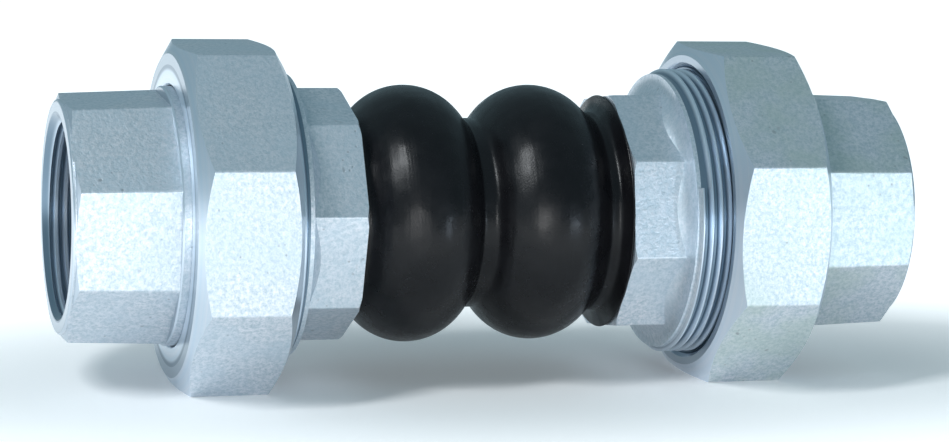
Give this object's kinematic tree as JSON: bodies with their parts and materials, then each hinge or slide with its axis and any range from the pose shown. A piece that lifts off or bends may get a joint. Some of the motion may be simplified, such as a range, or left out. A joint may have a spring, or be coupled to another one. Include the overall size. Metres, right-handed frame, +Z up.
{
  "type": "rubber expansion joint",
  "caption": "Rubber bellows with two rounded arches between threaded unions: octagonal glands, union nuts and female-threaded tailpieces on a common pipe axis.",
  "frame": {"origin": "on the pipe axis, halfway between the two end faces", "axes": "+X along the pipe from left to right, +Z up, away from the nut flats it stands on"},
  "size_m": [0.21, 0.082, 0.082],
  "materials": {
    "zinc_plated_iron": "bright zinc over a grainy casting",
    "black_rubber": "smooth, slightly glossy",
    "liner_rubber": "matt",
    "tyre_cord": "woven cord",
    "steel_wire": "coated wire"
  },
  "bodies": {
    "left_end": {"left_gland": "zinc_plated_iron", "left_bead_wires": "steel_wire"},
    "left_tail": {"left_tailpiece": "zinc_plated_iron"},
    "left_nut": {"left_union_nut": "zinc_plated_iron"},
    "left_arch": {"cord_ply_inner": "tyre_cord"},
    "centre": {"rubber_cover": "black_rubber", "rubber_liner": "liner_rubber", "root_ring": "steel_wire"},
    "right_arch": {"cord_ply_outer": "tyre_cord"},
    "right_end": {"right_gland": "zinc_plated_iron", "right_bead_wires": "steel_wire"},
    "right_tail": {"right_tailpiece": "zinc_plated_iron"},
    "right_nut": {"right_union_nut": "zinc_plated_iron"}
  },
  "joints": [
    {"name": "left_arch_bend", "type": "hinge", "parent": "left_end", "child": "left_arch", "pos_m": [-0.03161, 0, 0], "axis": [0, 0, 1], "range_deg": [-10, 10], "stiffness_Nm_per_rad": 20, "deforming": ["rubber_cover", "cord_ply_outer", "cord_ply_inner", "rubber_liner"]},
    {"name": "left_arch_axial", "type": "slide", "parent": "left_arch", "child": "centre", "axis": [1, 0, 0], "range_m": [-0.011, 0.003], "stiffness_N_per_m": 20000},
    {"name": "right_arch_axial", "type": "slide", "parent": "centre", "child": "right_arch", "axis": [1, 0, 0], "range_m": [-0.011, 0.003], "stiffness_N_per_m": 20000},
    {"name": "right_arch_bend", "type": "hinge", "parent": "right_arch", "child": "right_end", "pos_m": [0.02299, 0, 0], "axis": [0, 0, 1], "range_deg": [-10, 10], "stiffness_Nm_per_rad": 20},
    {"name": "left_tail_draw", "type": "slide", "parent": "left_end", "child": "left_tail", "axis": [-1, 0, 0], "range_m": [0, 0.0104]},
    {"name": "left_nut_turn", "type": "hinge", "parent": "left_tail", "child": "left_nut", "pos_m": [-0.06551, 0, 0], "axis": [-1, 0, 0], "range_deg": [0, 1620]},
    {"name": "right_tail_draw", "type": "slide", "parent": "right_end", "child": "right_tail", "axis": [1, 0, 0], "range_m": [-0.00462, 0.00578]},
    {"name": "right_nut_turn", "type": "hinge", "parent": "right_tail", "child": "right_nut", "pos_m": [0.06551, 0, 0], "axis": [1, 0, 0], "range_deg": [-720, 900]}
  ],
  "couplings": [
    {"joint": "right_arch_axial", "follows": "left_arch_axial", "ratio": 1},
    {"joint": "left_tail_draw", "follows": "left_nut_turn", "m_per_rad": 0.00036749},
    {"joint": "right_tail_draw", "follows": "right_nut_turn", "m_per_rad": 0.00036749}
  ]
}
